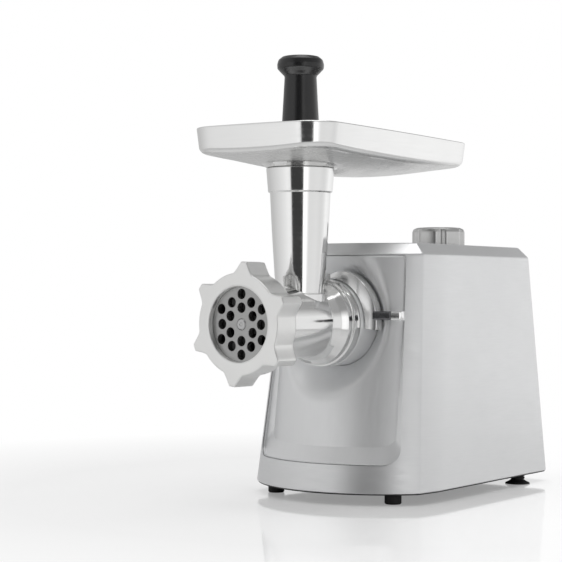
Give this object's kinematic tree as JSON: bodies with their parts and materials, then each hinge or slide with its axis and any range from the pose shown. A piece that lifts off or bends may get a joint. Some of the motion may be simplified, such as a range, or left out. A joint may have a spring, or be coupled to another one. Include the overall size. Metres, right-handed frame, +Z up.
{
  "type": "electric meat grinder",
  "caption": "Electric meat grinder with a silver housing, detachable grinding head, ring nut, cutting plate, feed tube, hopper tray, pusher and a knob on top.",
  "frame": {"origin": "on the table, under the middle of the whole grinder's bounding box", "axes": "+Z up, -Y out of the mouth of the grinding head, +X to the side of the locking lever's arm"},
  "size_m": [0.1688, 0.342, 0.3526],
  "materials": {
    "silver_body": "satin silver paint over moulded plastic",
    "silver_panel": "satin silver paint over moulded plastic",
    "black_base": "plain moulded",
    "dark_plastic": "fine texture",
    "black_gloss": "smooth gloss",
    "rubber": "soft matt",
    "cast_aluminium": "blasted cast",
    "polished_aluminium": "polished",
    "chrome_lever": "bright plated",
    "steel": "turned and ground",
    "brushed_knob": "brushed",
    "laminated_steel": "stacked laminations",
    "winding": "enamelled wire",
    "bronze": "plain bearing bronze",
    "gear_nylon": "moulded nylon",
    "board": "solder resist"
  },
  "bodies": {
    "chassis": {"housing_shell": "silver_body", "front_panel": "silver_panel", "base_plate": "black_base", "rear_panel": "dark_plastic", "cord_gland": "rubber", "foot_front_left": "rubber", "foot_front_right": "rubber", "foot_rear_left": "rubber", "foot_rear_right": "rubber", "base_screw_1": "steel", "base_screw_2": "steel", "base_screw_3": "steel", "base_screw_4": "steel", "outlet_socket": "polished_aluminium", "gearbox_case": "cast_aluminium", "gearbox_cover": "cast_aluminium", "gearbox_screw_1": "steel", "gearbox_screw_2": "steel", "gearbox_screw_3": "steel", "gearbox_screw_4": "steel", "output_bearing": "bronze", "motor_front_bracket": "steel", "motor_rear_bracket": "steel", "motor_bearing_front": "steel", "motor_bearing_rear": "steel", "stator_core": "laminated_steel", "field_winding_top": "winding", "field_winding_bottom": "winding", "brush_holder_left": "bronze", "brush_holder_right": "bronze", "selector_switch": "dark_plastic", "circuit_board": "board"},
    "lock_lever": {"lock_ring": "chrome_lever", "lock_handle": "chrome_lever"},
    "knob": {"control_knob": "brushed_knob", "knob_spindle": "steel"},
    "rotor": {"motor_shaft": "steel", "rotor_core": "laminated_steel", "commutator": "winding", "cooling_fan": "dark_plastic", "motor_pinion": "steel"},
    "first_stage": {"first_shaft": "steel", "first_gear": "steel", "first_pinion": "steel"},
    "second_stage": {"second_shaft": "steel", "second_gear": "steel", "second_pinion": "steel"},
    "output": {"output_gear": "gear_nylon", "output_shaft": "steel"},
    "head": {"head_casting": "polished_aluminium", "auger_bush": "bronze"},
    "plate": {"cutting_plate": "steel"},
    "auger": {"auger": "cast_aluminium", "drive_shank": "gear_nylon", "knife": "steel"},
    "ring": {"ring_nut": "cast_aluminium"},
    "tray": {"tray": "polished_aluminium"},
    "pusher": {"pusher": "black_gloss"}
  },
  "joints": [
    {"name": "knob_turn", "type": "hinge", "parent": "chassis", "child": "knob", "pos_m": [0, 0.1025, 0.206], "axis": [0, 0, 1], "range_deg": [-60, 60]},
    {"name": "lock_turn", "type": "hinge", "parent": "chassis", "child": "lock_lever", "pos_m": [0, -0.05, 0.1419], "axis": [0, -1, 0], "range_deg": [0, 24]},
    {"name": "first_spin", "type": "hinge", "parent": "chassis", "child": "first_stage", "pos_m": [0.022, 0.01, 0.0979], "axis": [0, 1, 0], "continuous": true},
    {"name": "rotor_spin", "type": "hinge", "parent": "chassis", "child": "rotor", "pos_m": [0, 0.065, 0.08], "axis": [0, 1, 0], "continuous": true},
    {"name": "second_spin", "type": "hinge", "parent": "chassis", "child": "second_stage", "pos_m": [-0.0076, 0, 0.1043], "axis": [0, 1, 0], "continuous": true},
    {"name": "output_spin", "type": "hinge", "parent": "chassis", "child": "output", "pos_m": [0, -0.013, 0.1419], "axis": [0, 1, 0], "continuous": true},
    {"name": "head_slide", "type": "slide", "parent": "chassis", "child": "head", "axis": [0, -1, 0], "range_m": [0, 0.09]},
    {"name": "auger_spin", "type": "hinge", "parent": "head", "child": "auger", "pos_m": [0, -0.1, 0.1419], "axis": [0, 1, 0], "continuous": true},
    {"name": "plate_slide", "type": "slide", "parent": "head", "child": "plate", "axis": [0, -1, 0], "range_m": [0, 0.0121]},
    {"name": "ring_turn", "type": "hinge", "parent": "plate", "child": "ring", "pos_m": [0, -0.16, 0.1419], "axis": [0, -1, 0], "range_deg": [0, 1440]},
    {"name": "tray_lift", "type": "slide", "parent": "head", "child": "tray", "axis": [0, 0, 1], "range_m": [0, 0.05]},
    {"name": "pusher_slide", "type": "slide", "parent": "head", "child": "pusher", "axis": [0, 0, 1], "range_m": [0, 0.19]}
  ],
  "couplings": [
    {"joint": "rotor_spin", "follows": "first_spin", "ratio": -6},
    {"joint": "second_spin", "follows": "first_spin", "ratio": -0.25},
    {"joint": "output_spin", "follows": "first_spin", "ratio": 0.083333},
    {"joint": "auger_spin", "follows": "first_spin", "ratio": 0.083333},
    {"joint": "plate_slide", "follows": "ring_turn", "m_per_rad": 0.00047746}
  ]
}
